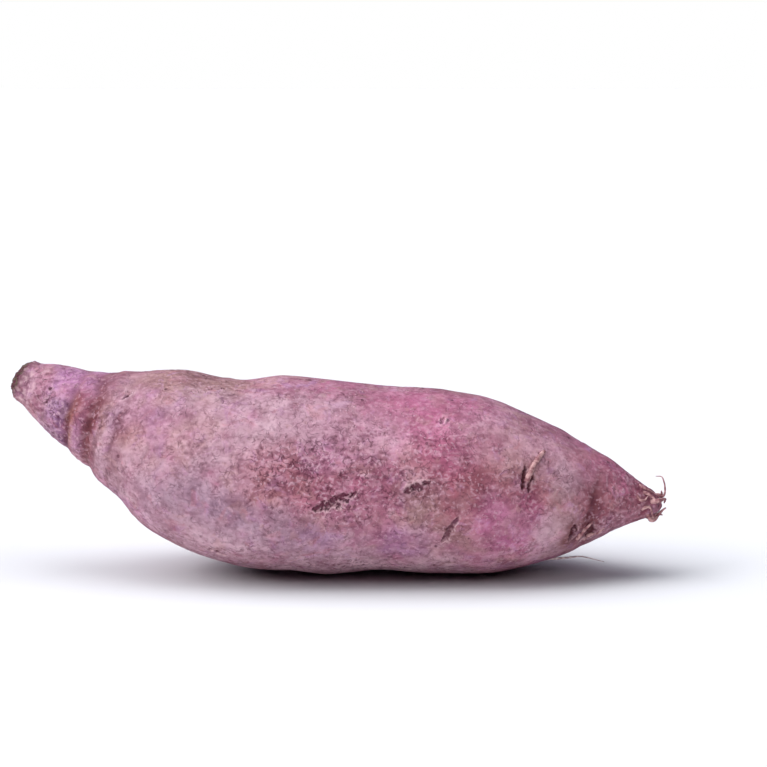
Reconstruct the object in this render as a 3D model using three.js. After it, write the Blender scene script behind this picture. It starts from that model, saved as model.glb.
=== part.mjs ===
// A whole purple sweet potato, lying on its belly: one storage root, grown as one piece.
// Millimetres, +Z up. +X runs from the crown, where the root broke off its stalk, to the tail.
// -Y is the front.
import * as THREE from "three";
import { ParametricGeometry } from "three/addons/geometries/ParametricGeometry.js";

// Driving dimensions.
const LENGTH = 200; // crown to tail, along X
const GIRTH = 60; // diameter of a round root as thick as the belly

// Angles round the root, in degrees.
const FRONT = 0;
const TOP = 90;
const BACK = 180;
const BELLY = 270;

// The root's own line and thickness, crown to tail. `at` is a share of LENGTH. The others are shares
// of GIRTH: the line's height above the ground, its swing to the back (+) or the front (-), and the
// radius round it.
const STATIONS = [
  { at: 0.0, height: 1.022, swing: 0.13, radius: 0.09 },
  { at: 0.06, height: 0.904, swing: 0.105, radius: 0.163 },
  { at: 0.115, height: 0.818, swing: 0.075, radius: 0.225 },
  { at: 0.165, height: 0.759, swing: 0.05, radius: 0.286 },
  { at: 0.225, height: 0.678, swing: 0.025, radius: 0.379 },
  { at: 0.29, height: 0.575, swing: 0.01, radius: 0.445 },
  { at: 0.38, height: 0.517, swing: 0.0, radius: 0.49 },
  { at: 0.475, height: 0.494, swing: 0.0, radius: 0.478 },
  { at: 0.57, height: 0.479, swing: 0.0, radius: 0.468 },
  { at: 0.66, height: 0.467, swing: -0.005, radius: 0.464 },
  { at: 0.75, height: 0.424, swing: -0.015, radius: 0.434 },
  { at: 0.84, height: 0.403, swing: -0.035, radius: 0.335 },
  { at: 0.905, height: 0.395, swing: -0.05, radius: 0.222 },
  { at: 0.96, height: 0.374, swing: -0.065, radius: 0.11 },
  { at: 1.0, height: 0.357, swing: -0.075, radius: 0.05 },
];
const WIDTH_SHARE = 1.03; // the root is this much wider than it is tall

// The ends: how far back the rounding starts, and the hollow scar where the stalk broke off.
const CROWN_REACH = 3.2;
const TAIL_REACH = 2.5;
const SCAR_DEPTH = 1.4;
const SCAR_SHARE = 0.75; // of the crown's radius

// Broad swellings (+) and hollows (-). Height, and reach along and round the root, in millimetres.
const SWELLINGS = [
  { at: 0.25, angle: TOP, height: 1.2, along: 13, round: 18 }, // shoulder behind the neck
  { at: 0.163, angle: BELLY, height: 1.0, along: 5.5, round: 12 }, // chin under the neck's second crease
  { at: 0.215, angle: BELLY, height: -0.8, along: 5, round: 14 },
  { at: 0.332, angle: TOP, height: -2.1, along: 7, round: 15 }, // saddle between shoulder and belly
  { at: 0.41, angle: TOP + 15, height: 0.9, along: 12, round: 16 },
  { at: 0.49, angle: BELLY - 5, height: 1.45, along: 8, round: 16 }, // the two swellings that it lies on
  { at: 0.65, angle: BELLY + 5, height: 1.0, along: 12, round: 16 },
  { at: 0.445, angle: BELLY, height: -0.7, along: 4, round: 16 },
  { at: 0.57, angle: BELLY, height: -0.8, along: 6, round: 18 },
  { at: 0.66, angle: TOP - 35, height: 0.5, along: 6, round: 7 }, // a healed eye
  { at: 0.33, angle: FRONT + 40, height: 0.5, along: 6, round: 7 },
  { at: 0.8, angle: FRONT + 20, height: -0.7, along: 5, round: 5 }, // hollow of a rootlet's eye
  { at: 0.885, angle: FRONT - 45, height: -0.7, along: 3, round: 3.5 }, // pit at the tail furrow
  { at: 0.45, angle: BACK + 10, height: 1.4, along: 16, round: 14 },
  { at: 0.3, angle: BACK - 20, height: -0.9, along: 10, round: 12 },
  { at: 0.72, angle: BACK - 25, height: -1.1, along: 12, round: 12 },
  { at: 0.62, angle: BACK + 45, height: 0.8, along: 9, round: 10 },
];

// Furrows across the root, deepest at `angle` and fading over `spread` degrees to either side. Depth
// and width are in millimetres, and so is the lean: how much nearer the tail the furrow is on top.
const FURROWS = [
  { at: 0.1, lean: -2.0, depth: 0.6, width: 0.9, angle: FRONT - 20, spread: 75 }, // the neck's two creases
  { at: 0.136, lean: -2.2, depth: 0.9, width: 1.1, angle: FRONT - 15, spread: 80 },
  { at: 0.115, lean: 1.0, depth: 0.5, width: 1.0, angle: BACK, spread: 60 },
  { at: 0.16, lean: 0.6, depth: 0.4, width: 1.2, angle: BACK + 20, spread: 70 },
  { at: 0.887, lean: 1.7, depth: 0.8, width: 1.2, angle: FRONT, spread: 60 }, // where the tail begins
  { at: 0.86, lean: 1.0, depth: 0.5, width: 1.1, angle: BACK - 20, spread: 70 },
  { at: 0.93, lean: 0.0, depth: 0.3, width: 0.8, angle: BACK + 40, spread: 90 },
];

// Long shallow lobes that wind round the root: how many, how high, how far each winds from end to end.
const LOBES = [
  { count: 2, height: 0.5, turn: 140, start: 20 },
  { count: 3, height: 0.35, turn: -70, start: 75 },
  { count: 5, height: 0.18, turn: 50, start: 10 },
];

// Mesh density.
const AROUND = 44;
const COARSE_STEP = 3.0; // along the belly
const FINE_STEP = 1.15; // at the neck and tail
const STEP_SHARE = 0.11; // of the local radius, between the two
const END_STEP = 0.3; // at the very ends

const radians = THREE.MathUtils.degToRad;
const bell = (x) => Math.exp(-0.5 * x * x);

// Both curves are uniform Catmull-Rom splines through the stations, so they share one parameter.
const line = new THREE.CatmullRomCurve3(
  STATIONS.map(
    ({ at, height, swing }) =>
      new THREE.Vector3((at - 0.5) * LENGTH, swing * GIRTH, height * GIRTH),
  ),
  false,
  "catmullrom",
  0.5,
);
const thickness = new THREE.SplineCurve(
  STATIONS.map(({ at, radius }) => new THREE.Vector2(at, radius * GIRTH)),
);

// Shortest way round from one angle to another, in degrees.
function turnBetween(from, to) {
  return THREE.MathUtils.euclideanModulo(to - from + 180, 360) - 180;
}

// How far the skin stands proud of the plain root, at a share of the length and an angle.
function relief(at, angle, radius) {
  let height = 0;
  for (const s of SWELLINGS) {
    const along = ((at - s.at) * LENGTH) / s.along;
    const round = (radians(turnBetween(s.angle, angle)) * radius) / s.round;
    height += s.height * bell(along) * bell(round);
  }
  for (const f of FURROWS) {
    const along = ((at - f.at) * LENGTH - f.lean * Math.sin(radians(angle))) / f.width;
    height -= f.depth * bell(along) * bell(turnBetween(f.angle, angle) / f.spread);
  }
  const lobeShare = Math.min(1, radius / (0.4 * GIRTH));
  for (const l of LOBES) {
    const phase = l.count * radians(angle + l.start) + radians(l.turn) * at * l.count;
    height += l.height * lobeShare * Math.cos(phase);
  }
  return height;
}

// Share of the full radius at this distance from an end that is rounded over `reach`.
function rounding(distance, reach) {
  const x = Math.min(1, Math.max(0, distance / reach));
  return Math.sqrt(1 - (1 - x) * (1 - x));
}

// Point of the skin at a share of the line's length and an angle in degrees.
function skinPoint(share, angle, target) {
  const t = line.getUtoTmapping(share);
  const centre = line.getPoint(t);
  const tangent = line.getTangent(t);
  const front = new THREE.Vector3(0, -1, 0);
  front.addScaledVector(tangent, -front.dot(tangent)).normalize();
  const up = new THREE.Vector3().crossVectors(front, tangent);

  const { x: at, y: radius } = thickness.getPoint(t);
  const crown = rounding(at * LENGTH, CROWN_REACH);
  const tail = rounding((1 - at) * LENGTH, TAIL_REACH);
  const reach = crown * tail * (radius + relief(at, angle, radius));
  const scar = 1 - THREE.MathUtils.smoothstep(crown, 0, SCAR_SHARE);

  target
    .copy(centre)
    .addScaledVector(tangent, SCAR_DEPTH * scar)
    .addScaledVector(front, reach * WIDTH_SHARE * Math.cos(radians(angle)))
    .addScaledVector(up, reach * Math.sin(radians(angle)));
  target.z = Math.max(0, target.z); // the belly is pressed flat where it lies
}

// Where the mesh's rings stand, as shares of the line's length: closer where the root is thin, and at
// its ends.
function ringPlaces() {
  const total = line.getLength();
  const places = [0];
  while (places.at(-1) < 1) {
    const place = places.at(-1);
    const { x: at, y: radius } = thickness.getPoint(line.getUtoTmapping(place));
    const step = THREE.MathUtils.clamp(radius * STEP_SHARE, FINE_STEP, COARSE_STEP);
    const endStep = END_STEP + (Math.min(at, 1 - at) * LENGTH) / 3;
    places.push(Math.min(1, place + Math.min(step, endStep) / total));
  }
  return places;
}

const rings = ringPlaces();

// The share of the line's length reached at a share of the way through the rings.
function ringPlace(share) {
  const place = share * (rings.length - 1);
  const ring = Math.min(Math.floor(place), rings.length - 2);
  return THREE.MathUtils.lerp(rings[ring], rings[ring + 1], place - ring);
}

const skin = new ParametricGeometry(
  (along, round, target) => skinPoint(ringPlace(along), 360 * round, target),
  rings.length - 1,
  AROUND,
);

// The origin is on the ground, under the middle of the root's box.
skin.computeBoundingBox();
const middle = skin.boundingBox.getCenter(new THREE.Vector3());
skin.translate(-middle.x, -middle.y, 0);

const sweetPotato = new THREE.Mesh(
  skin,
  new THREE.MeshStandardMaterial({ color: 0xb98aa3, roughness: 0.75, metalness: 0 }),
);
sweetPotato.name = "sweet_potato";

const part = new THREE.Group();
part.add(sweetPotato);
export default part;
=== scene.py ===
import math
from collections import namedtuple

import bmesh
import bpy
import numpy as np
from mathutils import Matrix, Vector, noise


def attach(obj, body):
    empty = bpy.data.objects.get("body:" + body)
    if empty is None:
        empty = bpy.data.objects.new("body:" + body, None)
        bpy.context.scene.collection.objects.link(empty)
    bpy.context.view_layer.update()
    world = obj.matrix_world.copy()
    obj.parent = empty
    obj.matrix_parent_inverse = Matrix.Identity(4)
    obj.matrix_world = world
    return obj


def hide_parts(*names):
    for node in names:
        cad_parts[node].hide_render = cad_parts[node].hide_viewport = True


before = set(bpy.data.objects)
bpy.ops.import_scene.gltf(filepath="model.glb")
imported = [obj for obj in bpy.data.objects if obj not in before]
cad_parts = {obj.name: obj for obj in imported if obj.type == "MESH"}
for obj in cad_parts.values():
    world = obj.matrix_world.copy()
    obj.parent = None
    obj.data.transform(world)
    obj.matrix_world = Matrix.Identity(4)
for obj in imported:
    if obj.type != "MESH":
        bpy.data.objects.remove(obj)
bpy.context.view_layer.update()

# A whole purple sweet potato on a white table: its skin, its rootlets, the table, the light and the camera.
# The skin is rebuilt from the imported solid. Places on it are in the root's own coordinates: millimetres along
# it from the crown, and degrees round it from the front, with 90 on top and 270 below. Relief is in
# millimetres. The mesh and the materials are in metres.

MM = 0.001
SOLID = "sweet_potato"
BODY = "root"

# Mesh density, in millimetres.
SKIN_CELL = 0.77
MARK_MARGINS = (1.3, 0.5)  # round each mark, the cells are halved once within each of these
CROWN_END = 3.5  # and at both ends, before and past these places along the root
TAIL_START = 203

# Tones, as linear colour.
TONES = {
    "mauve": (0.375, 0.150, 0.220),
    "dusky": (0.310, 0.115, 0.170),
    "pale": (0.490, 0.255, 0.335),
    "lilac": (0.430, 0.215, 0.370),
    "violet": (0.320, 0.160, 0.300),
    "plum": (0.170, 0.070, 0.150),
    "blush": (0.430, 0.125, 0.225),
    "coral": (0.400, 0.145, 0.175),
    "tan": (0.410, 0.225, 0.225),
    "ochre": (0.380, 0.180, 0.080),
    "olive": (0.300, 0.165, 0.165),
    "brown": (0.260, 0.100, 0.095),
    "umber": (0.140, 0.038, 0.042),
    "grey": (0.345, 0.220, 0.270),
    "ash": (0.460, 0.285, 0.335),
    "slate": (0.240, 0.140, 0.215),
    "orchid": (0.390, 0.115, 0.265),
    "crimson": (0.290, 0.075, 0.120),
    "maroon": (0.085, 0.014, 0.034),
    "garnet": (0.070, 0.010, 0.016),
    "rose": (0.630, 0.385, 0.465),
    "cork": (0.640, 0.410, 0.450),
    "wood": (0.100, 0.066, 0.048),
    "rootlet_dark": (0.240, 0.085, 0.100),
    "rootlet_pale": (0.520, 0.290, 0.290),
    "dry_dark": (0.420, 0.300, 0.310),
    "dry_pale": (0.660, 0.540, 0.540),
    "table": (0.700, 0.690, 0.700),
}

# Soft stains of the skin, and a few patches of painted highlight and painted bounce light: where each lies,
# how far it reaches along and round, its tone and strength.
STAINS_AND_PAINTED_LIGHT = [
    # along, angle, reach along, reach round, tone, strength
    # The crown and the neck.
    (9, 30, 5, 6, "dusky", 0.4),
    (13, 46, 6, 6, "pale", 0.4),
    (5, 21, 3, 5, "grey", 0.5),
    (19.5, 58, 5.5, 6.5, "lilac", 0.95),
    (18.5, 60, 3, 4, "orchid", 0.35),
    (14.5, -32, 4, 3, "ash", 0.5),
    (19.5, -14, 4.2, 6, "slate", 0.95),
    (18.0, -10, 2, 3, "lilac", 0.5),
    (21.4, -3, 2.0, 4, "plum", 1.0),
    (22.6, -22, 1.7, 6, "plum", 0.9),
    (24.5, 7, 1.7, 6, "ochre", 0.95),
    (24.3, 8, 1.5, 5, "umber", 0.25),
    (25.5, 28, 2.6, 5, "crimson", 0.75),
    (28.2, 19, 2.0, 4, "crimson", 0.7),
    (28.6, -25, 1.6, 4, "ash", 0.8),
    (27.4, 6, 1.8, 9, "dusky", 0.7),
    (28.2, -12, 1.4, 5, "lilac", 0.5),
    (30.4, 30, 1.8, 4.5, "crimson", 1.0),
    (30.4, 30, 1.4, 4, "umber", 0.3),
    (34.5, 2, 1.5, 9, "ash", 0.8),
    (33.4, 30, 1.3, 4, "ochre", 0.5),
    (38, 61, 6, 6, "ash", 0.6),
    (36.5, 40, 3, 6, "ash", 0.7),
    (38.5, -8, 2.4, 5, "ash", 0.9),
    (38.7, -9, 2.0, 4, "rose", 0.4),
    (41.5, -27, 4, 5, "ash", 0.7),
    (43, 36, 3, 4, "dusky", 0.8),
    (37.5, 27, 2.2, 3, "slate", 0.5),
    (39.5, 17, 2, 2.4, "plum", 0.4),
    (43, 14, 3, 9, "brown", 0.4),
    (42.5, 4, 3.5, 8, "dusky", 0.8),
    (41, 12, 1.6, 2.2, "brown", 0.9),
    (44.5, 17, 2.4, 4, "ochre", 0.4),
    (46, 10, 3, 4, "tan", 0.5),
    (46, 2, 2.5, 4, "dusky", 0.6),
    (46, -16, 7, 7, "ash", 0.8),
    (51, 28, 3, 3, "blush", 0.5),
    (51, 46, 8, 6, "lilac", 0.4),
    # The shoulder and the left of the belly.
    (62, 2, 16, 14, "ash", 0.55),
    (62, -30, 12, 8, "ash", 0.5),
    (58, 78, 15, 9, "tan", 1.0),
    (60, 76, 14, 9, "olive", 0.9),
    (60, 78, 12, 7, "brown", 0.25),
    (62, 52, 7, 6, "ash", 0.6),
    (58, -20, 7, 6, "slate", 0.45),
    (61, 26, 6, 6, "tan", 0.6),
    (73, 15, 10, 8, "ash", 0.85),
    (92, 30, 8, 4, "ash", 0.5),
    # The next two ash stains are partly a painted highlight on the upper front, over the skin's own greyish
    # tone.
    (80, 45, 10, 8, "ash", 0.8),
    (96, 47, 13, 7, "ash", 0.8),
    (92, 48, 6, 5, "rose", 0.3),
    (66, -15, 8, 7, "grey", 0.7),
    (67, -16, 4, 4, "ash", 0.6),
    (80, -20, 12, 8, "grey", 0.75),
    (77, -22, 11, 7, "slate", 0.45),
    (76, 0, 12, 7, "slate", 0.35),
    (100, -32, 14, 8, "grey", 0.65),
    (104, -34, 14, 7, "slate", 0.3),
    (70, -42, 12, 7, "ash", 0.7),
    (76, -34, 14, 6, "ash", 0.25),
    # The middle.
    (90, 9, 12, 7, "coral", 0.65),
    (86, 2, 4, 4, "ochre", 0.15),
    (102, 22, 5, 4, "violet", 0.35),
    (110, 12, 8, 7, "crimson", 0.4),
    (122, 5, 8, 7, "crimson", 0.5),
    (115, -12, 8, 6, "dusky", 0.6),
    (112, 36, 12, 7, "pale", 0.5),
    (123, 44, 8, 6, "pale", 0.7),
    (132, 27, 4, 4, "tan", 0.5),
    (136, 64, 13, 8, "blush", 0.85),
    (107, -44, 10, 6, "ash", 0.5),
    (137, -44, 8, 5, "ash", 0.65),
    # The next two stains are partly the skin's greyish tint and partly painted bounce light that lightens the
    # underside, as light bounced up from the white table would.
    (112, -60, 34, 7, "ash", 0.9),
    (108, -70, 16, 7, "rose", 0.7),
    (102, -27, 5, 4, "violet", 0.35),
    # The right of the belly.
    (134, 2, 6, 9, "olive", 0.75),
    (141, -8, 8, 9, "olive", 0.9),
    (149, -19, 6, 5, "olive", 0.95),
    (151, -25, 4, 4, "olive", 0.9),
    (140, 20, 7, 6, "crimson", 0.6),
    (149, 8, 8, 11, "crimson", 0.9),
    (146, 28, 8, 7, "crimson", 0.85),
    (143, 36, 10, 7, "blush", 0.6),
    (129, -29, 6, 4, "violet", 0.55),
    (155, 2, 3, 3.5, "violet", 0.8),
    (154.5, 46, 10, 8, "pale", 0.7),
    (158, 18, 6, 6, "dusky", 0.5),
    (152, 6, 7, 8, "brown", 0.5),
    (152, -11, 4, 4, "dusky", 0.4),
    (163, 8, 6, 6, "brown", 0.4),
    (163.8, 16, 2.4, 5.0, "umber", 0.85),
    (160, 41, 10, 7, "tan", 0.4),
    (169, 2, 4, 5, "crimson", 0.6),
    (160, -12, 9, 8, "blush", 0.5),
    (158, -18, 7, 6, "orchid", 0.3),
    (162, -11, 3, 3, "pale", 0.5),
    (164, 35, 6, 5, "tan", 0.5),
    (173, 46, 10, 6, "pale", 0.6),
    (175, -32, 6, 6, "ash", 0.9),
    (179, 6, 5, 9, "olive", 0.8),
    (177, 30, 4, 5, "ash", 0.7),
    (177, 27, 3, 3, "rose", 0.35),
    (174, -18, 5, 5, "ash", 0.5),
    (184, 48, 6, 4, "coral", 0.6),
    (182, 42, 5, 4, "pale", 0.5),
    # The tail.
    (183, -36, 5, 5, "brown", 0.7),
    (180, -29, 2.2, 4.5, "umber", 0.8),
    (186, -38, 2.8, 5, "umber", 0.65),
    # The next two stains are painted bounce light: they lighten the tail's lower rim, as light reflected up
    # from the table would.
    (191.5, -44, 4.5, 4, "ash", 0.7),
    (197, -40, 4.5, 3, "pale", 0.6),
    (185.4, 14, 1.8, 12, "brown", 0.5),
    (192, 20, 8, 14, "crimson", 0.6),
    (190, 52, 9, 4, "coral", 0.5),
    (195, -4, 8, 7, "crimson", 0.95),
    (192, -17, 7, 4, "umber", 0.35),
    (197, -2, 5, 5, "umber", 0.45),
    (193, 48, 8, 4.5, "blush", 0.8),
    (189, 20, 3, 5, "coral", 0.7),
    (186, 36, 3, 4, "pale", 0.4),
    # Painted bounce light on the tail's lower rim, as light reflected up from the table would give.
    (196, -44, 8, 4, "pale", 0.4),
    (203, 10, 5, 12, "crimson", 0.95),
    (203, 0, 4, 6, "umber", 0.3),
    # The back and the belly's underside.
    (30, 160, 7, 7, "lilac", 0.6),
    (24, 190, 2.5, 8, "ochre", 0.4),
    (70, 170, 18, 12, "ash", 0.6),
    (100, 140, 14, 10, "blush", 0.5),
    (120, 200, 16, 12, "coral", 0.5),
    (95, 235, 20, 12, "grey", 0.6),
    (150, 150, 12, 10, "tan", 0.5),
    (140, 100, 10, 8, "olive", 0.3),
    (150, 190, 8, 8, "crimson", 0.5),
    (165, 215, 10, 9, "violet", 0.5),
    (185, 160, 8, 8, "orchid", 0.5),
]

# At the neck, a stain or a zone slants: this much nearer the crown on top, and nearer the tail underneath.
NECK_LEAN = 3.0
LEAN_FADE = (32, 52)  # where along the root the slant fades out

# Zones where the skin is coarse and granular: along, angle, reach along, reach round, strength.
COARSE_ZONES = [
    (90, 12, 18, 10, 0.9),
    (112, 12, 24, 14, 0.9),
    (62, 12, 10, 9, 0.6),
    (140, 22, 16, 13, 0.6),
    (165, 15, 14, 12, 0.5),
    (177, 14, 10, 12, 0.4),
    (143, 56, 16, 8, 0.4),
    (105, -58, 50, 9, 0.65),
    (18, -14, 5, 8, 0.9),
    (194, 0, 12, 14, 0.7),
    (10, 20, 8, 14, 0.6),
    (36, 8, 10, 14, 0.5),
    (130, -25, 22, 9, 0.45),
    (110, 190, 30, 16, 0.8),
    (60, 220, 16, 12, 0.6),
    (150, 140, 16, 12, 0.5),
]

# Cuts, slits and healed sores. The heading is in degrees from the root's length towards its top. The lip is
# how high the rim stands, speckle is the share of the hollow that is crumbs of pale skin, and dark is the
# strength of its tone, which in the hollow is partly painted shade. lit is 1 where the pale rim is on the
# mark's upper side, and -1 on its lower side: that side's rim and crumbs are painted paler, a painted
# highlight where the wall faces the light.
Mark = namedtuple(
    "Mark", "along angle length width heading depth lip speckle dark lit seed", defaults=(1, -1, 30)
)
MARKS = [
    Mark(106.9, -3, 15.5, 3.4, 25, 0.9, 0.5, 0.6, dark=0.79, seed=57),  # gash
    Mark(131.8, 8, 8.4, 3.0, 20, 0.5, 0.9, 0.8, dark=0.73, lit=1, seed=57),  # flake
    Mark(142.5, -19, 11, 2.2, 62, 0.8, 0.3, 0.3, dark=0.8, seed=54),  # crease
    Mark(162.5, 20, 7.5, 2.0, 86, 0.9, 0.15, 0),  # eye slit
    Mark(164.9, 17, 6.0, 1.9, 80, 0.7, 0.15, 0),  # eye slit
    Mark(180.0, -28, 7.5, 2.4, 80, 1.1, 0.1, 0.1, seed=45),  # pit
    Mark(183.2, -46, 4.0, 2.0, 55, 0.9, 0.3, 0.1),  # pit
    Mark(185.5, -37, 7.6, 3.2, 86, 1.1, 0.15, 0.1, seed=54),  # pit
    Mark(188.0, -42, 2.8, 1.6, 30, 0.6, 0.2, 0.2),  # pit
    Mark(36.4, 51, 3.6, 0.7, 62, 0.6, 0.2, 0),  # slit
    Mark(13.3, 34, 1.4, 1.0, 70, 0.4, 0.1, 0),  # pore
    Mark(14.1, 9, 1.3, 1.0, 40, 0.5, 0.1, 0),  # pore
    Mark(65.3, 71, 1.8, 1.2, 10, 0.4, 0.15, 0),  # spot
    Mark(84.9, 86, 1.8, 1.0, 0, 0.4, 0.15, 0),  # spot
    Mark(73.4, -46, 4.4, 1.6, -20, 0.5, 0.3, 0.5),  # sore
    Mark(138.3, 51, 3.4, 1.2, 80, 0.4, 0.4, 0.6, dark=0.4),  # nick
    Mark(140.5, 72, 1.4, 0.6, 10, 0.3, 0.1, 0),  # dash
    Mark(92, 165, 11, 2.2, 35, 0.7, 0.3, 0.6, dark=0.85),  # gash
    Mark(126, 150, 5, 1.0, 80, 0.8, 0.2, 0),  # eye slit
    Mark(148, 205, 4.5, 0.9, 95, 0.8, 0.2, 0),  # eye slit
    Mark(70, 205, 7, 1.6, -15, 0.5, 0.35, 0.4),  # flake
    Mark(168, 160, 7, 1.4, 75, 0.7, 0.3, 0.2),  # crease
    Mark(112, 245, 5, 1.8, 15, 0.5, 0.3, 0.6),  # sore
    Mark(45, 150, 5, 0.9, 80, 0.6, 0.2, 0),  # slit
    Mark(105, 112, 1.8, 1.2, 20, 0.4, 0.15, 0),  # pore
]
TEAR = 2.2  # millimetres: how coarsely a mark's outline wanders
FRAY = 0.9  # how finely its edge is frayed
CRUMB = 1.1  # the size of its crumbs
LIP = 0.35  # how wide its rim is

# Heights of the relief, in millimetres. SEAM is a share of the depth of the ring that it lies beside.
LUMP = 0.3
SMALL_LUMP = 0.14
WRINKLE = 0.11
SEAM = 0.45
FOLD = 0.1
CROWN_SWELL = 0.9
CROWN_DENT = 0.9
CROWN_BROW = 0.5
SPOKE = 0.55
SPLINTER = 0.35
CROWN_EDGE = 0.5
CRUST = 0.4
TAIL_FIBRE = 0.3

# Places along the root, in millimetres: where the neck's folds come and go, and where the woody end does.
FOLDS_COME = (5, 16)
FOLDS_GO = (44, 60)
WOOD_GOES = (2.5, 7)
TAIL_COMES = (26, 2)  # before the tip

FOLD_PITCHES = ((3.1, 1.0), (1.9, 0.6))  # millimetres from fold to fold, and how strong each kind is
PLAIN_COARSE = 0.3  # how coarse the skin is away from the coarse zones
LEAST_COARSE = 0.12

# Creases that ring the root: where each lies, how far its top leans on, its depth and width, how far it
# wanders, the angle where it is deepest, how many degrees it fades over, how dark it is, and how brown
# the skin is beside it.
Ring = namedtuple("Ring", "along tilt depth width wander angle spread dark band")
RINGS = [
    Ring(23.1, -2.8, 0.45, 0.55, 0.4, -20, 55, 0.70, 0.6),
    Ring(30.9, -2.9, 0.60, 1.15, 0.4, 0, 60, 0.15, 1.0),
    Ring(34.6, -2.6, 0.25, 0.50, 1.0, 0, 50, 0.35, 0.3),
    Ring(39.4, -2.2, 0.30, 0.50, 1.2, -5, 40, 0.60, 0.5),
    Ring(42.5, -1.5, 0.25, 0.60, 1.4, -45, 50, 0.30, 0.3),
    Ring(26.4, 1.0, 0.40, 0.50, 0.8, 175, 60, 0.70, 0.6),
    Ring(35.4, 0.6, 0.35, 0.60, 1.2, 200, 60, 0.50, 0.5),
    Ring(185.4, 2.2, 0.55, 0.75, 0.6, -2, 32, 0.62, 1.0),
    Ring(187.6, 1.2, 0.20, 0.60, 1.2, 20, 35, 0.30, 0.2),
    Ring(180.0, 1.0, 0.30, 0.50, 0.8, 170, 60, 0.50, 0.5),
]

# Rootlets, each by its thickness where it starts and by the points it runs through: along, angle, and height
# over the skin, or over the root's own line past its end. tip is the share of the thickness left at its tip.
Rootlet = namedtuple("Rootlet", "name thick path tip dry", defaults=(0.25, False))
ROOTLETS = [
    Rootlet("eye_rootlet", thick=1.9, tip=0.6, path=[
        (163.6, 18, -0.6), (164.6, 25, 0.3), (166.4, 34, 0.7), (168.6, 44, 0.4)]),
    Rootlet("pit_rootlet_1", thick=1.7, path=[
        (181.4, -40, -0.6), (182.4, -33, 0.3), (184.0, -27, 0.4), (185.6, -20, 0.2)]),
    Rootlet("pit_rootlet_2", thick=1.5, path=[
        (183.4, -50, -0.6), (185.4, -46, 0.3), (187.6, -42, 0.4), (189.4, -34, 0.1)]),
    Rootlet("belly_rootlet", thick=0.8, dry=True, path=[
        (173, -78, -0.5), (179, -84, 1.6), (184, -90, 4.0), (190, -93, 9.5)]),
    Rootlet("tail_rootlet_1", thick=0.9, path=[
        (204, 60, -0.4), (206.8, 88, 2.4), (207.3, 90, 4.2), (205.6, 92, 5.9), (203.4, 93, 4.7)]),
    Rootlet("tail_rootlet_2", thick=1.6, path=[
        (203.5, 10, -0.6), (205.6, 20, 2.2), (207.6, 60, 2.2), (207.8, 100, 0.6)]),
    Rootlet("tail_rootlet_3", thick=1.6, path=[
        (203, -40, -0.5), (205.2, -50, 2.2), (207.4, -60, 2.6), (208.6, -20, 1.4)]),
    Rootlet("tail_rootlet_4", thick=1.3, path=[
        (200.6, 34, -0.5), (202, 34, 0.4), (203.6, 28, 0.8), (205.4, 10, 2.2)]),
    Rootlet("tail_rootlet_5", thick=1.2, path=[
        (201, -16, -0.5), (202.4, -8, 0.4), (203.8, -10, 0.8), (205.4, -40, 2.2)]),
    Rootlet("tail_rootlet_6", thick=1.1, path=[
        (199.2, 60, -0.5), (200.6, 50, 0.4), (202.2, 48, 0.6), (203.8, 62, 0.2)]),
    Rootlet("tail_rootlet_7", thick=1.1, path=[
        (198.6, 20, -0.5), (200, 10, 0.4), (201.4, 12, 0.6), (202.2, 26, 0.2)]),
    Rootlet("tail_rootlet_8", thick=1.5, path=[
        (202.6, 150, -0.5), (204.6, 150, 0.8), (206.6, 120, 3.0), (206.2, 90, 4.0)]),
    Rootlet("tail_rootlet_9", thick=1.4, path=[
        (202.4, -110, -0.5), (204.4, -100, 0.8), (206.6, -80, 3.2), (208, -50, 3.6)]),
    Rootlet("back_rootlet", thick=1.0, path=[
        (126, 150, -0.5), (127.6, 156, 0.6), (129, 163, 0.7), (131, 171, 0.3)]),
]


# ---------------------------------------------------------------------------------------------------------
# Objects
# ---------------------------------------------------------------------------------------------------------

KEPT = []


def add_object(name, data, location=(0, 0, 0)):
    thing = bpy.data.objects.new(name, data)
    thing.location = location
    bpy.context.scene.collection.objects.link(thing)
    return thing


def keep(piece):
    """Every piece rides on the root's one body and stands for its solid, which is hidden."""
    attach(piece, BODY)
    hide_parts(SOLID)
    KEPT.append(piece)


# ---------------------------------------------------------------------------------------------------------
# The root's own coordinates
# ---------------------------------------------------------------------------------------------------------


def mesh_points(mesh):
    """The mesh's points in millimetres."""
    points = np.empty(len(mesh.vertices) * 3)
    mesh.vertices.foreach_get("co", points)
    return points.reshape(-1, 3) / MM


def centre_line(points, step=2.0, reach=3.0, crown_gap=3, tail_gap=2, smoothing=9):
    """Points down the middle of the root, from the crown to the tail, from slices of the solid."""
    places = np.arange(points[:, 0].min() + crown_gap, points[:, 0].max() - tail_gap, step)
    middles = []
    for place in places:
        near = points[np.abs(points[:, 0] - place) < reach]
        middle = (near.min(axis=0) + near.max(axis=0)) / 2
        middles.append((place, middle[1], middle[2]))
    line = np.array(middles)

    # Run it straight on past both ends, then smooth it.
    steps = np.arange(1, smoothing)[:, None]
    before = line[0] + steps[::-1] * (line[0] - line[4]) / 4
    after = line[-1] + steps * (line[-1] - line[-5]) / 4
    line = np.vstack([before, line, after])
    weights = np.hanning(smoothing + 2)[1:-1]
    weights /= weights.sum()
    return np.stack([np.convolve(line[:, k], weights, "valid") for k in range(3)], axis=1)


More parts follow.
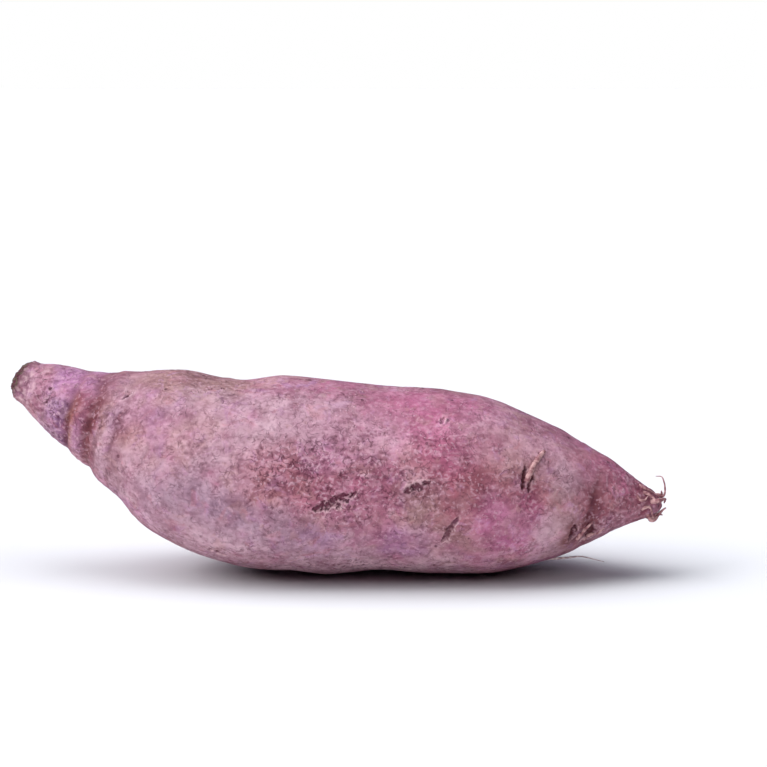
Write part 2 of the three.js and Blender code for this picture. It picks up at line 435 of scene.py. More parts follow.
class RootCoordinates:
    """Turns points into places on the root: along, angle, radius, and the line's direction there."""

    def __init__(self, solid_points):
        self.line = centre_line(solid_points)
        steps = np.linalg.norm(np.diff(self.line, axis=0), axis=1)
        self.travel = np.concatenate([[0.0], np.cumsum(steps)])
        self.heading = np.gradient(self.line, self.travel, axis=0)
        self.start = 0.0
        self.start = self.place(solid_points)[0].min()

    def at(self, values, travel):
        return np.stack([np.interp(travel, self.travel, values[:, k]) for k in range(3)], axis=1)

    def frame(self, along):
        """Centre, direction, front and up of the root at each place along it."""
        travel = along + self.start
        ahead = self.at(self.heading, travel)
        ahead /= np.linalg.norm(ahead, axis=1, keepdims=True)
        front = np.array([0.0, -1.0, 0.0]) + ahead * ahead[:, 1:2]
        front /= np.linalg.norm(front, axis=1, keepdims=True)
        return self.at(self.line, travel), ahead, front, np.cross(front, ahead)

    def place(self, points):
        along = np.interp(points[:, 0], self.line[:, 0], self.travel) - self.start
        for _ in range(4):
            centre, ahead, front, up = self.frame(along)
            along = along + ((points - centre) * ahead).sum(axis=1)
        centre, ahead, front, up = self.frame(along)
        out = points - centre
        angle = np.degrees(np.arctan2((out * up).sum(axis=1), (out * front).sum(axis=1)))
        return along, angle, np.linalg.norm(out, axis=1)


def turn(angle, middle):
    """Shortest turn from middle to angle, in degrees."""
    return (angle - middle + 180) % 360 - 180


def bell(x):
    return np.exp(-0.5 * x * x)


def leaning(along, angle):
    """The place along the root, changed at the neck so that stains and zones slant there."""
    return along + NECK_LEAN * (1 - smooth_step(along, *LEAN_FADE)) * np.sin(np.radians(angle))


def smooth_step(x, low, high):
    t = np.clip((x - low) / (high - low), 0, 1)
    return t * t * (3 - 2 * t)


def grain(points, size, octaves=2, seed=0):
    """Smooth noise of about -1 to 1, with lumps of that size in millimetres."""
    shifted = points / size + np.array([13.7, -7.3, 5.1]) * seed
    return np.array([noise.fractal(point, 1.0, 2.0, octaves) for point in shifted.tolist()])


# ---------------------------------------------------------------------------------------------------------
# The skin
# ---------------------------------------------------------------------------------------------------------


def even_skin(solid):
    """A copy of the solid's mesh, smoothed and rebuilt from small even cells."""
    mesh = solid.data.copy()
    build = bmesh.new()
    build.from_mesh(mesh)
    bmesh.ops.remove_doubles(build, verts=build.verts, dist=0.001 * MM)
    bmesh.ops.join_triangles(
        build,
        faces=build.faces,
        angle_face_threshold=math.radians(40),
        angle_shape_threshold=math.radians(60),
    )
    build.to_mesh(mesh)
    build.free()
    coarse = add_object("coarse_skin", mesh)
    smooth = coarse.modifiers.new("smooth", "SUBSURF")
    smooth.levels = smooth.render_levels = 2
    cells = coarse.modifiers.new("cells", "REMESH")
    cells.mode = "VOXEL"
    cells.voxel_size = SKIN_CELL * MM
    evaluated = coarse.evaluated_get(bpy.context.evaluated_depsgraph_get())
    skin = bpy.data.meshes.new_from_object(evaluated)
    bpy.data.objects.remove(coarse)
    skin.name = "skin"
    skin.materials.clear()
    return skin


def mark_frame(mark, along, angle, radius):
    """Millimetres along and across a mark, from its middle."""
    ahead = along - mark.along
    up = np.radians(turn(angle, mark.angle)) * radius
    heading = math.radians(mark.heading)
    return (
        ahead * math.cos(heading) + up * math.sin(heading),
        up * math.cos(heading) - ahead * math.sin(heading),
    )


def refine_marks(mesh, root):
    """Halves the cells round each mark, once for each margin."""
    for margin in MARK_MARGINS:
        points = mesh_points(mesh)
        along, angle, radius = root.place(points)
        wanted = (along < CROWN_END) | (along > TAIL_START)
        for mark in MARKS:
            u, v = mark_frame(mark, along, angle, radius)
            wanted |= (np.abs(u) < mark.length / 2 + margin) & (np.abs(v) < mark.width / 2 + margin)
        build = bmesh.new()
        build.from_mesh(mesh)
        edges = [edge for edge in build.edges if all(wanted[vert.index] for vert in edge.verts)]
        bmesh.ops.subdivide_edges(build, edges=edges, cuts=1, use_grid_fill=True)
        build.to_mesh(mesh)
        build.free()


class Surface:
    """The skin's points, their places on the root, and the relief and masks that build up on them."""

    def __init__(self, mesh, root):
        self.points = mesh_points(mesh)
        normals = np.empty(len(mesh.vertices) * 3)
        mesh.vertices.foreach_get("normal", normals)
        self.normals = normals.reshape(-1, 3)
        self.along, self.angle, self.radius = root.place(self.points)
        self.ahead = root.frame(self.along)[1]
        self.length = self.along.max()
        self.relief = np.zeros(len(self.points))  # millimetres
        self.groove = np.zeros(len(self.points))
        self.lip = np.zeros(len(self.points))
        self.stain = np.zeros((len(self.points), 4))  # its colour, and how much of it there is

    def wrapped(self, stretch):
        """The points, squeezed along the root by stretch, so that noise on them runs along it."""
        points = self.points.copy()
        points[:, 0] = self.along / stretch
        return points

    def zone(self, along, angle, reach_along, reach_round, warp=0.0):
        """1 in the middle of a soft zone, fading outwards."""
        ahead = (leaning(self.along, self.angle) - leaning(along, angle) + warp) / reach_along
        sideways = (np.radians(turn(self.angle, angle)) * self.radius + warp) / reach_round
        return bell(ahead) * bell(sideways)

    def lay(self, tone, amount):
        """Lays a tone over the stains that are there already."""
        total = np.maximum(self.stain[:, 3] * (1 - amount) + amount, 1e-6)
        share = (amount / total)[:, None]
        self.stain[:, :3] = self.stain[:, :3] * (1 - share) + np.array(TONES[tone]) * share
        self.stain[:, 3] = total


def add_lumps(skin):
    """Broad swellings and hollows, and smaller lumps."""
    skin.relief += LUMP * grain(skin.points, 24, 2, seed=1)
    skin.relief += SMALL_LUMP * grain(skin.points, 8, 2, seed=2)


def add_coarse_skin(skin):
    """Granular skin: short wandering wrinkles, strongest in the coarse zones."""
    warp = 3 * grain(skin.points, 10, 2, seed=3)
    coarse = PLAIN_COARSE + PLAIN_COARSE * grain(skin.points, 26, 2, seed=4)
    for along, angle, reach_along, reach_round, strength in COARSE_ZONES:
        coarse = np.maximum(coarse, strength * skin.zone(along, angle, reach_along, reach_round, warp))
    skin.coarse = np.clip(coarse, LEAST_COARSE, 1)
    wrinkles = 1 - 2.6 * np.abs(grain(skin.wrapped(1.5), 2.6, 2, seed=5))
    skin.relief += WRINKLE * skin.coarse * np.clip(wrinkles, -1, 1)


def add_rings(skin):
    """Creases round the neck and before the tail, each with a low seam beside it and a brown band."""
    up = np.sin(np.radians(skin.angle))
    for number, ring in enumerate(RINGS):
        wander = ring.wander * grain(skin.points, 7, 3, seed=10 + number)
        off = (skin.along - ring.along - ring.tilt * up + wander) / ring.width
        strength = bell(turn(skin.angle, ring.angle) / ring.spread)
        broken = np.clip(0.75 + 0.9 * grain(skin.points, 2.2, 3, seed=22 + number), 0, 1)
        skin.relief -= ring.depth * strength * bell(off)
        skin.relief += SEAM * ring.depth * strength * bell((off - 2.4) / 1.4)
        skin.groove = np.maximum(skin.groove, ring.dark * strength * broken * bell(off / 1.3))
        skin.lay("umber", ring.band * strength * bell((off - 0.2) / 1.7))


def add_folds(skin):
    """Fine folds that ring the neck, between its creases."""
    neck = smooth_step(skin.along, *FOLDS_COME) * (1 - smooth_step(skin.along, *FOLDS_GO))
    phase = skin.along + 1.6 * grain(skin.points, 9, 2, seed=20)
    folds = sum(strength * np.sin(2 * np.pi * phase / pitch) for pitch, strength in FOLD_PITCHES)
    patchy = np.clip(0.5 + grain(skin.points, 8, 2, seed=21), 0, 1)
    skin.relief += FOLD * neck * patchy * folds


def add_marks(skin):
    """Cuts, slits, pits and sores: a dark crumbling hollow with a raised, pale, broken lip. The hollow's dark
    is partly painted shade, and the lip and crumbs are painted paler on the side towards the light, a painted
    highlight.
    """
    for mark in MARKS:
        u, v = mark_frame(mark, skin.along, skin.angle, skin.radius)
        near = np.hypot(u, v) < 0.8 * mark.length + 1.2
        points, u, v = skin.points[near], u[near], v[near]
        ragged = grain(points, TEAR, 3, mark.seed)
        speckle = grain(points, CRUMB, 2, mark.seed + 1)
        frayed = grain(points, FRAY, 2, mark.seed + 2)

        # u runs from -1 to 1 along the mark. off is how far outside its edge a point is, in millimetres.
        u = u / (mark.length / 2) + 0.12 * ragged
        v = v + 0.2 * mark.width * ragged
        lens = np.sqrt(np.clip(1 - u * u, 0, 1)) * (1 + 0.5 * ragged + 0.5 * frayed) - 0.08
        off = np.abs(v) - mark.width / 2 * lens
        # Painted highlight: the rim and crumbs are paler on the side of the mark towards the light, and the
        # dark of the hollow is partly painted shade.
        lit = np.clip(v * mark.lit / 0.6, -1, 1)

        crumbs = mark.speckle * smooth_step(speckle + 0.12 * lit, 0.08, 0.3)
        hollow = smooth_step(-off, -0.15, LIP) * (1 - smooth_step(np.abs(u), 0.85, 1.1))
        rim = bell((off - 0.15) / LIP) * bell(u / 0.9) * smooth_step(speckle, -0.45, 0.1)
        rim *= 0.6 + 0.4 * lit
        hollow_tone_and_shade = hollow * (1 - np.maximum(crumbs, 0.9 * rim))
        lip = np.maximum(rim, 0.8 * hollow * crumbs)
        skin.relief[near] += mark.lip * lip - mark.depth * hollow_tone_and_shade
        skin.groove[near] = np.maximum(skin.groove[near], mark.dark * hollow_tone_and_shade)
        skin.lip[near] = np.maximum(skin.lip[near], lip * min(1, mark.lip / 0.3))


def add_crown(skin):
    """The woody scar where the stalk broke off, and its crusted rim."""
    facing = -(skin.normals * skin.ahead).sum(axis=1)  # 1 where the skin faces out of the crown's end
    near = 1 - smooth_step(skin.along, *WOOD_GOES)

    # The end swells, with a dent in it and a low brow behind the dent.
    skin.relief += CROWN_SWELL * bell(skin.along / 3) * smooth_step(facing, 0, 0.6)
    skin.relief -= CROWN_DENT * skin.zone(2.5, 95, 3, 5)
    skin.relief += CROWN_BROW * skin.zone(11, 90, 4, 8)

    # Its face is splintered wood, split by spokes.
    skin.wood = near * smooth_step(facing + 0.12 * grain(skin.points, 2, 2, seed=40), 0.35, 0.7)
    spokes = np.abs(np.sin(np.radians(skin.angle) * 5.5 + 1.5 * grain(skin.points, 3, 2, seed=41)))
    skin.relief -= SPOKE * skin.wood * (1 - spokes) ** 3
    skin.relief += SPLINTER * skin.wood * grain(skin.points, 1.1, 2, seed=42)

    # Its edge stands up, dark and crusted, and the skin beside it is crinkled.
    skin.relief += CROWN_EDGE * near * bell((facing - 0.45) / 0.14)
    crust = grain(skin.points, 1.5, 3, seed=46)
    rim = near * smooth_step(facing + 0.6 * crust, 0.2, 0.5) * (1 - skin.wood)
    skin.relief += CRUST * near * crust
    skin.groove = np.maximum(skin.groove, 0.85 * rim)
    crinkled = bell((skin.along - 5) / 3)
    skin.lip = np.maximum(skin.lip, 0.8 * crinkled * smooth_step(crust, 0.16, 0.38))
    skin.groove = np.maximum(skin.groove, 0.6 * crinkled * smooth_step(-crust, 0.25, 0.5))


def add_tail(skin):
    """The fibrous, pitted tip of the tail."""
    tail = smooth_step(skin.along, *(skin.length - place for place in TAIL_COMES))
    skin.fibre = tail * np.clip(0.5 + 0.9 * grain(skin.wrapped(4), 1.2, 2, seed=43), 0, 1)
    skin.relief += TAIL_FIBRE * tail * grain(skin.wrapped(2.5), 2.0, 3, seed=44)
    pits = smooth_step(grain(skin.points, 1.6, 2, seed=45), 0.25, 0.6)
    skin.groove = np.maximum(skin.groove, 0.6 * pits * tail)


def add_stains_and_painted_light(skin):
    """Soft stains and a few painted highlights, laid one over the other."""
    warp = 2.2 * grain(skin.points, 7, 3, seed=50)
    patchy = np.clip(0.85 + 0.8 * grain(skin.points, 5, 3, seed=51), 0.2, 1)
    for along, angle, reach_along, reach_round, tone, strength in STAINS_AND_PAINTED_LIGHT:
        zone = skin.zone(along, angle, reach_along, reach_round, warp * min(1, reach_along / 6))
        skin.lay(tone, strength * patchy * smooth_step(zone, 0.08, 0.75))


def store(mesh, name, values):
    """Keeps one number, one colour or one vector for each point, for the material."""
    if values.ndim == 1:
        kind, key = "FLOAT", "value"
    elif values.shape[1] == 4:
        kind, key = "FLOAT_COLOR", "color"
    else:
        kind, key = "FLOAT_VECTOR", "vector"
    mesh.attributes.new(name, kind, "POINT").data.foreach_set(key, values.astype(np.float32).ravel())


def make_skin(root):
    mesh = even_skin(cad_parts[SOLID])
    refine_marks(mesh, root)
    skin = Surface(mesh, root)
    for add in (
        add_lumps,
        add_coarse_skin,
        add_stains_and_painted_light,
        add_rings,
        add_folds,
        add_marks,
        add_crown,
        add_tail,
    ):
        add(skin)
    points = skin.points + skin.normals * skin.relief[:, None]
    skin.reach = skin.radius + skin.relief
    points[:, 2] = np.maximum(points[:, 2], 0)  # nothing reaches below the table
    mesh.vertices.foreach_set("co", (points * MM).ravel())
    for name in ("groove", "lip", "wood", "fibre", "coarse", "stain"):
        store(mesh, name, getattr(skin, name))
    store(mesh, "wrapped", skin.wrapped(1.9) * MM)
    mesh.shade_smooth()
    mesh.update()
    mesh.materials.append(skin_material())
    keep(add_object("root_skin", mesh))
    return skin


# ---------------------------------------------------------------------------------------------------------
# Rootlets
# ---------------------------------------------------------------------------------------------------------

TUBE_SIDES = 10
TUBE_STEPS = 40
TABLE_GAP = 0.05  # millimetres: the least height of a rootlet over the table
CROOKED = 0.12  # how far a rootlet wanders, as a share of its thickness
BEND = 2.2  # millimetres from bend to bend
KNOTS = 0.25  # how far its thickness varies


def smooth_path(points, steps):
    """A Catmull-Rom curve through the points."""
    ends = np.vstack([2 * points[0] - points[1], points, 2 * points[-1] - points[-2]])
    places = np.linspace(0, len(points) - 1.0001, steps)
    spans = places.astype(int)
    t = (places - spans)[:, None]
    a, b, c, d = (ends[spans + k] for k in range(4))
    return 0.5 * (2 * b + (c - a) * t + (2 * a - 5 * b + 4 * c - d) * t**2 + (3 * b - a - 3 * c + d) * t**3)


def rootlet_line(rootlet, skin, root):
    """The crooked line that a rootlet runs along."""
    points = []
    for along, angle, height in rootlet.path:
        centre, _, front, up = (values[0] for values in root.frame(np.array([along])))
        gap = (skin.along - along) ** 2 + (np.radians(turn(skin.angle, angle)) * skin.radius) ** 2
        base = skin.reach[gap.argmin()] if along < skin.length - 1 else 0
        out = front * math.cos(math.radians(angle)) + up * math.sin(math.radians(angle))
        points.append(centre + out * (base + height))
    line = smooth_path(np.array(points), TUBE_STEPS)
    bends = np.stack([grain(line + 40 * k, BEND, 2, seed=60) for k in range(3)], axis=1)
    return line + CROOKED * rootlet.thick * bends


def tube_faces():
    """Faces of a tube of rings, closed by two more points, one at each end."""
    faces = []
    last = (TUBE_STEPS - 1) * TUBE_SIDES
    for low in range(0, last, TUBE_SIDES):
        high = low + TUBE_SIDES
        for side in range(TUBE_SIDES):
            after = (side + 1) % TUBE_SIDES
            faces.append((low + side, high + side, high + after, low + after))
    start = TUBE_STEPS * TUBE_SIDES
    end = start + 1
    for side in range(TUBE_SIDES):
        after = (side + 1) % TUBE_SIDES
        faces.append((side, after, start))
        faces.append((last + after, last + side, end))
    return faces


def make_rootlet(rootlet, skin, root, material):
    """A thin crooked tube that tapers to its tip."""
    line = rootlet_line(rootlet, skin, root)
    ahead = np.gradient(line, axis=0)
    ahead /= np.linalg.norm(ahead, axis=1, keepdims=True)
    side = np.cross(ahead, (0.3, 0.5, 0.8))
    side /= np.linalg.norm(side, axis=1, keepdims=True)
    other = np.cross(ahead, side)
    taper = 1 - (1 - rootlet.tip) * np.linspace(0, 1, TUBE_STEPS) ** 1.3
    taper *= 1 + KNOTS * grain(line, 0.9, 2, seed=61)
    turns = np.linspace(0, 2 * np.pi, TUBE_SIDES, endpoint=False)[None, :, None]
    ring = np.cos(turns) * side[:, None] + np.sin(turns) * other[:, None]
    tube = line[:, None] + ring * (taper * rootlet.thick / 2)[:, None, None]
    points = np.vstack([tube.reshape(-1, 3), line[0], line[-1]])
    points[:, 2] = np.maximum(points[:, 2], TABLE_GAP)

    mesh = bpy.data.meshes.new(rootlet.name)
    mesh.from_pydata((points * MM).tolist(), [], tube_faces())
    mesh.shade_smooth()
    mesh.materials.append(material)
    keep(add_object(rootlet.name, mesh))


# ---------------------------------------------------------------------------------------------------------
# Materials
# ---------------------------------------------------------------------------------------------------------


class Nodes:
    """Short names for the shader nodes of one material. Every value given may be a constant or a socket."""

    def __init__(self, name):
        self.material = bpy.data.materials.new(name)
        self.material.use_nodes = True
        self.tree = self.material.node_tree
        self.shader = self.tree.nodes["Principled BSDF"]

    def set(self, socket, value):
        if isinstance(value, bpy.types.NodeSocket):
            self.tree.links.new(value, socket)
        elif isinstance(value, tuple) and len(value) == 3 and len(socket.default_value) == 4:
            socket.default_value = (*value, 1)
        else:
            socket.default_value = value

    def add(self, kind, inputs, **settings):
        node = self.tree.nodes.new("ShaderNode" + kind)
        for name, value in settings.items():
            setattr(node, name, value)
        for key, value in inputs.items():
            self.set(node.inputs[key], value)
        return node

    def attribute(self, name, output="Fac"):
        return self.add("Attribute", {}, attribute_name=name).outputs[output]

    def noise(self, vector, size, detail=2.0, roughness=0.5, distortion=0.0):
        """Noise from 0 to 1 whose lumps are size metres across."""
        inputs = {"Vector": vector, "Scale": 1 / size, "Detail": detail, "Roughness": roughness}
        inputs["Distortion"] = distortion
        return self.add("TexNoise", inputs).outputs["Fac"]

    def bend(self, vector, size, reach):
        """The vector, moved by noise whose lumps are size metres across, up to reach metres each way."""
        inputs = {"Vector": vector, "Scale": 1 / size, "Detail": 1.0}
        colours = self.add("TexNoise", inputs).outputs["Color"]
        centred = self.add("VectorMath", {0: colours, 1: (0.5, 0.5, 0.5)}, operation="SUBTRACT").outputs[0]
        move = self.add("VectorMath", {0: centred, "Scale": 2 * reach}, operation="SCALE").outputs[0]
        return self.add("VectorMath", {0: vector, 1: move}, operation="ADD").outputs[0]

    def spots(self, vector, size, edge, middle, chosen):
        """Round spots, one to a cell size metres across. A spot is full within middle and gone past edge,
        both shares of a cell. Each cell has a random shade, and a spot if that is past the span chosen."""
        cells = self.add("TexVoronoi", {"Vector": vector, "Scale": 1 / size}).outputs
        return self.times(self.span(cells["Distance"], edge, middle), self.span(cells["Color"], *chosen))

    def math(self, operation, a, b=0.0):
        return self.add("Math", {0: a, 1: b}, operation=operation).outputs[0]

    def times(self, a, b):
        return self.math("MULTIPLY", a, b)

    def span(self, value, low, high, to_low=0.0, to_high=1.0):
        """value from low..high to to_low..to_high, smoothly and clamped."""
        inputs = {"Value": value, "From Min": low, "From Max": high, "To Min": to_low, "To Max": to_high}
        return self.add("MapRange", inputs, interpolation_type="SMOOTHSTEP").outputs["Result"]

    def mix(self, share, a, b, blend="MIX"):
        node = self.add("Mix", {}, data_type="RGBA", blend_type=blend, clamp_factor=True)
        self.set(node.inputs[0], share)
        self.set(node.inputs[6], a)
        self.set(node.inputs[7], b)
        return node.outputs[2]

    def tint(self, colour, share, most, tone):
        """Lays a tone over a colour: most of it, from 0 to 1, where the share is 1."""
        return self.mix(self.times(share, most), colour, TONES[tone])

    def bump(self, height, strength, distance):
        inputs = {"Height": height, "Strength": strength, "Distance": distance}
        self.set(self.shader.inputs["Normal"], self.add("Bump", inputs).outputs["Normal"])


# Soft patches over the whole skin: tone, size in millimetres, the noise where each starts and where it is
# full, and how much of it there is then. The stains, with their painted highlights, lie over the broad ones
# and under the fine ones.
BROAD_PATCHES = [
    ("pale", 12.0, 0.50, 0.64, 0.55),
    ("tan", 13.0, 0.51, 0.62, 0.60),
    ("lilac", 10.0, 0.55, 0.66, 0.55),
    ("olive", 9.0, 0.55, 0.66, 0.50),
    ("violet", 8.0, 0.57, 0.68, 0.50),
    ("blush", 7.5, 0.55, 0.66, 0.50),
]
FINE_PATCHES = [
    ("tan", 7.0, 0.58, 0.68, 0.40),
    ("lilac", 5.0, 0.57, 0.68, 0.35),
    ("coral", 5.2, 0.58, 0.68, 0.35),
]

# Clouds that darken and lighten the tones: size in millimetres, and what they multiply the colour by.
CLOUDS = [
    (9.0, (0.87, 0.82, 0.85), (1.10, 1.13, 1.12)),
    (3.8, (0.89, 0.85, 0.87), (1.09, 1.12, 1.11)),
]

# Sizes of the texture's lumps and cells, in metres.
DRIFT = 30 * MM
BLUSHES = 18 * MM
CROWDS = 8 * MM  # where the texture is dense and where it is thin
WRINKLES = 1.7 * MM
GRIT = 1.15 * MM
CURLS = 2.4 * MM
BREAKS = 3.0 * MM  # between one curl and the next
SPECKS = 1.9 * MM
BLOTS = 2.1 * MM
BLOT_BENDS = 2.2 * MM  # of a blot's outline
PORES = 6 * MM
SPLINTERS = 1.2 * MM  # of the woody crown
ROOTLET_TONES = 1.6 * MM
ROOTLET_SHEEN = 1.0 * MM
ROOTLET_GRAIN = 0.7 * MM

# How strong each kind of texture is at most, from 0 to 1.
WRINKLE_TONE = 0.42
GRIT_TONE = 0.72
CURL_TONE = 0.7
SPECK_TONE = 0.45
BLOT_TONE = 0.45
PORE_TONE = 0.7
GROOVE_TONE = 0.92
LIP_TONE = 0.85
FIBRE_TONE = 0.18

BUMP = 0.9 * MM  # the fine relief that the skin's mesh leaves out
ROOTLET_BUMP = 0.2 * MM


def lay_patches(n, place, colour, patches):
    """Lays soft patches of other tones over a colour."""
    for tone, size, low, high, most in patches:
        elsewhere = n.add("Mapping", {"Vector": place, "Location": (40 * size * MM, 0, 0)}).outputs[0]
        share = n.span(n.noise(elsewhere, size * MM, 3, 0.6, 0.6), low, high, 0, most)
        colour = n.mix(share, colour, TONES[tone])
    return colour


def skin_tones(n, place):
    """The skin's broad colour: tones that drift over the root, patches, stains with a few painted highlights,
    and clouds.
    """
    colour = n.mix(n.span(n.noise(place, DRIFT, 3, 0.55, 0.6), 0.38, 0.62), TONES["dusky"], TONES["mauve"])
    blushing = n.span(n.noise(place, BLUSHES, 3, 0.6, 0.6), 0.52, 0.68, 0, 0.6)
    colour = n.mix(blushing, colour, TONES["blush"])
    colour = lay_patches(n, place, colour, BROAD_PATCHES)
    stain = n.add("Attribute", {}, attribute_name="stain").outputs
    colour = n.mix(stain["Alpha"], colour, stain["Color"])
    colour = lay_patches(n, place, colour, FINE_PATCHES)
    for size, dark, light in CLOUDS:
        cloud = n.mix(n.span(n.noise(place, size * MM, 3, 0.6, 0.4), 0.38, 0.62), dark, light)
        colour = n.mix(1.0, colour, cloud, "MULTIPLY")
    return colour


def skin_material():
    n = Nodes("sweet_potato_skin")
    place = n.add("TexCoord", {}).outputs["Object"]
    wrapped = n.attribute("wrapped", "Vector")
    coarse = n.attribute("coarse")
    groove = n.attribute("groove")
    colour = skin_tones(n, place)

    # Short wandering wrinkles, dark in their valleys and pale on their crests, and finer pits and flecks.
    worms = n.noise(wrapped, WRINKLES, 1.0, 0.5, 0.25)
    grit = n.noise(place, GRIT, 1.0, 0.5, 0.2)
    crowd = n.noise(place, CROWDS, 2, 0.55, 0.4)
    busy = n.times(n.span(coarse, 0, 1, 0.30, 0.90), n.span(crowd, 0.3, 0.65, 0.55, 1.0))
    colour = n.tint(colour, n.times(n.span(worms, 0.46, 0.38), busy), WRINKLE_TONE, "maroon")
    colour = n.tint(colour, n.times(n.span(worms, 0.53, 0.64), busy), WRINKLE_TONE, "rose")
    colour = n.tint(colour, n.times(n.span(grit, 0.43, 0.34), busy), GRIT_TONE, "maroon")
    colour = n.tint(colour, n.times(n.span(grit, 0.58, 0.67), busy), GRIT_TONE, "rose")

    # Thin dark curls, along the middle shade of a noise, broken into short lengths.
    middle = n.math("ABSOLUTE", n.math("SUBTRACT", n.noise(place, CURLS, 1.0, 0.5, 0.4), 0.5))
    broken = n.span(n.noise(place, BREAKS, 1), 0.47, 0.56)
    curls = n.times(n.times(n.span(middle, 0.034, 0.010), broken), busy)
    colour = n.tint(colour, curls, CURL_TONE, "maroon")

    # Corky specks, dark blots where the skin is coarse, and a few larger pores.
    specks = n.spots(place, SPECKS, 0.24, 0.13, (0.52, 0.58))
    specks = n.times(specks, n.span(crowd, 0.35, 0.6, 0.25, 0.9))
    colour = n.tint(colour, specks, SPECK_TONE, "rose")
    blots = n.spots(n.bend(place, BLOT_BENDS, BLOT_BENDS / 2), BLOTS, 0.42, 0.26, (0.44, 0.52))
    colour = n.tint(colour, n.times(blots, n.span(coarse, 0.35, 0.85)), BLOT_TONE, "maroon")
    pores = n.spots(place, PORES, 0.11, 0.05, (0.5, 0.55))
    colour = n.tint(colour, pores, PORE_TONE, "maroon")

    # Creases and cuts, their lips, the fibrous tail and the woody crown. In the cuts the dark tone is partly
    # painted shade, and the pale lips are partly a painted highlight.
    deep = n.mix(n.span(groove, 0.85, 1.0), TONES["maroon"], TONES["garnet"])
    colour = n.mix(n.times(groove, GROOVE_TONE), colour, deep)
    colour = n.tint(colour, n.attribute("lip"), LIP_TONE, "cork")
    colour = n.tint(colour, n.attribute("fibre"), FIBRE_TONE, "cork")
    splinters = n.span(n.noise(place, SPLINTERS, 2), 0.4, 0.62)
    colour = n.mix(n.attribute("wood"), colour, n.mix(splinters, TONES["maroon"], TONES["wood"]))
    n.set(n.shader.inputs["Base Color"], colour)

    # Roughness and fine relief.
    n.set(n.shader.inputs["Roughness"], n.span(n.math("ADD", grit, coarse), 0.2, 1.6, 0.55, 0.85))
    n.set(n.shader.inputs["Specular IOR Level"], 0.2)
    height = n.times(n.math("ADD", worms, n.times(grit, 0.5)), busy)
    height = n.math("SUBTRACT", height, n.times(n.math("ADD", pores, curls), 0.3))
    height = n.math("ADD", height, n.times(specks, 0.2))
    n.bump(height, 1.0, BUMP)
    return n.material


def rootlet_material(name, dark, pale):
    n = Nodes(name)
    place = n.add("TexCoord", {}).outputs["Object"]
    tone = n.mix(n.span(n.noise(place, ROOTLET_TONES, 3), 0.38, 0.62), TONES[dark], TONES[pale])
    n.set(n.shader.inputs["Base Color"], tone)
    n.set(n.shader.inputs["Roughness"], n.span(n.noise(place, ROOTLET_SHEEN, 2), 0.3, 0.7, 0.55, 0.8))
    n.bump(n.noise(place, ROOTLET_GRAIN, 2), 0.6, ROOTLET_BUMP)
    return n.material


def table_material():
    n = Nodes("white_table")
    n.set(n.shader.inputs["Base Color"], TONES["table"])
    n.set(n.shader.inputs["Roughness"], 0.6)
    n.set(n.shader.inputs["Specular IOR Level"], 0)
    return n.material


# ---------------------------------------------------------------------------------------------------------
# Table, light and camera
# ---------------------------------------------------------------------------------------------------------

CAMERA_AIM = Vector((0.0146, 0, 0.0586))
CAMERA_DISTANCE = 0.655
CAMERA_ELEVATION = math.radians(10)
CAMERA_LENS = 100

TABLE_REACH = 4.0

DAYLIGHT = (0.955, 0.975, 1.0)
SOFTBOX_WHITE = (1.0, 0.97, 0.99)
SOFTBOX_SIZE = (1.6, 0.5)
SKY_BLUE = (0.66, 0.76, 1.0)
SKY_SIDE = Vector((0, 0.55, 0.85))  # where the sky is brightest
SKY_STRENGTH = 0.4

# Suns overhead, by how many degrees each leans towards +X, and its power.
OVERHEAD_SUNS = [(-52, 1.6), (-27, 1.5), (6, 1.1)]
OVERHEAD_BACK = 0.09  # how far they stand behind the root, as a share of their height
OVERHEAD_SPREAD = 44
SIDE_SPREAD = 30


def aim(thing, target):
    thing.rotation_euler = (Vector(target) - thing.location).to_track_quat("-Z", "Y").to_euler()


def make_table():
    r = TABLE_REACH
    mesh = bpy.data.meshes.new("table")
    mesh.from_pydata([(-r, -r, 0), (r, -r, 0), (r, r, 0), (-r, r, 0)], [], [(0, 1, 2, 3)])
    mesh.materials.append(table_material())
    table = add_object("table", mesh)
    return table


def make_sun(name, towards, power, spread):
    """A far light in that direction, seen as a disc that many degrees across."""
    sun = bpy.data.lights.new(name, "SUN")
    sun.energy = power
    sun.angle = math.radians(spread)
    sun.color = DAYLIGHT
    thing = add_object(name, sun, towards)
    aim(thing, (0, 0, 0))
    return thing


def make_softbox(name, location, power):
    """A soft light aimed at the root."""
    softbox = bpy.data.lights.new(name, "AREA")
    softbox.shape = "RECTANGLE"
    softbox.size, softbox.size_y = SOFTBOX_SIZE
    softbox.energy = power
    softbox.color = SOFTBOX_WHITE
    softbox.cycles.max_bounces = 0  # the root's glow doesn't fill its own shadow
    thing = add_object(name, softbox, location)
    aim(thing, (0, 0, 0.03))
    return thing


def light_only(light, things):
    """Makes the light fall on these things and on nothing else."""
    lit = bpy.data.collections.new("lit_by_" + light.name)
    for thing in things:
        lit.objects.link(thing)
    light.light_linking.receiver_collection = lit


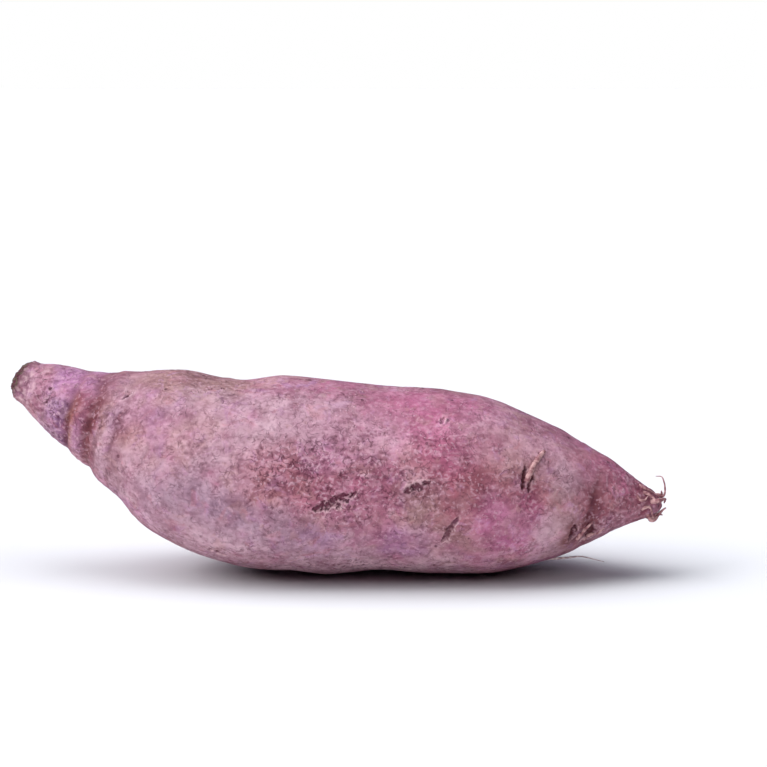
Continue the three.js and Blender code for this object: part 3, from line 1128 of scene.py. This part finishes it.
def make_lights(pieces, table):
    """A broad soft light overhead, low side lights on the table, and fills in front of the root."""
    for lean, power in OVERHEAD_SUNS:
        towards = (math.tan(math.radians(lean)), OVERHEAD_BACK, 1.0)
        make_sun("overhead", towards, power, OVERHEAD_SPREAD)
    light_only(make_sun("left_side", (-1.5, -0.45, 1.0), 1.3, SIDE_SPREAD), [table])
    light_only(make_sun("right_side", (1.3, -0.45, 1.0), 0.5, SIDE_SPREAD), [table])
    light_only(make_softbox("front_fill", (-1.1, -1.3, 0.95), 12), pieces)
    light_only(make_softbox("low_fill", (-0.3, -1.6, 0.06), 17), pieces)


def make_world():
    """A pale blue glow from above and behind, and plain white where the camera looks past the table."""
    world = bpy.data.worlds.new("studio")
    world.use_nodes = True
    nodes, links = world.node_tree.nodes, world.node_tree.links
    glow = nodes["Background"]
    glow.inputs["Color"].default_value = (*SKY_BLUE, 1)
    towards = nodes.new("ShaderNodeVectorMath")
    towards.operation = "DOT_PRODUCT"
    towards.inputs[1].default_value = SKY_SIDE.normalized()
    links.new(nodes.new("ShaderNodeTexCoord").outputs["Generated"], towards.inputs[0])
    strength = nodes.new("ShaderNodeMapRange")
    strength.inputs["From Min"].default_value = 0.1
    strength.inputs["To Max"].default_value = SKY_STRENGTH
    links.new(towards.outputs["Value"], strength.inputs["Value"])
    links.new(strength.outputs["Result"], glow.inputs["Strength"])
    backdrop = nodes.new("ShaderNodeBackground")
    backdrop.inputs["Color"].default_value = (1, 1, 1, 1)
    seen = nodes.new("ShaderNodeMixShader")
    links.new(nodes.new("ShaderNodeLightPath").outputs["Is Camera Ray"], seen.inputs[0])
    links.new(glow.outputs[0], seen.inputs[1])
    links.new(backdrop.outputs[0], seen.inputs[2])
    links.new(seen.outputs[0], nodes["World Output"].inputs["Surface"])
    bpy.context.scene.world = world


def make_camera():
    camera = bpy.data.cameras.new("camera")
    camera.lens = CAMERA_LENS
    camera.sensor_width = 36
    back = Vector((0, -math.cos(CAMERA_ELEVATION), math.sin(CAMERA_ELEVATION)))
    thing = add_object("camera", camera, CAMERA_AIM + CAMERA_DISTANCE * back)
    aim(thing, CAMERA_AIM)
    bpy.context.scene.camera = thing


make_camera()
table = make_table()
root = RootCoordinates(mesh_points(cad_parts[SOLID].data))
skin = make_skin(root)
fresh = rootlet_material("rootlet", "rootlet_dark", "rootlet_pale")
dry = rootlet_material("dry_rootlet", "dry_dark", "dry_pale")
for rootlet in ROOTLETS:
    make_rootlet(rootlet, skin, root, dry if rootlet.dry else fresh)
make_lights(KEPT, table)
make_world()
bpy.context.scene.view_settings.view_transform = "Standard"
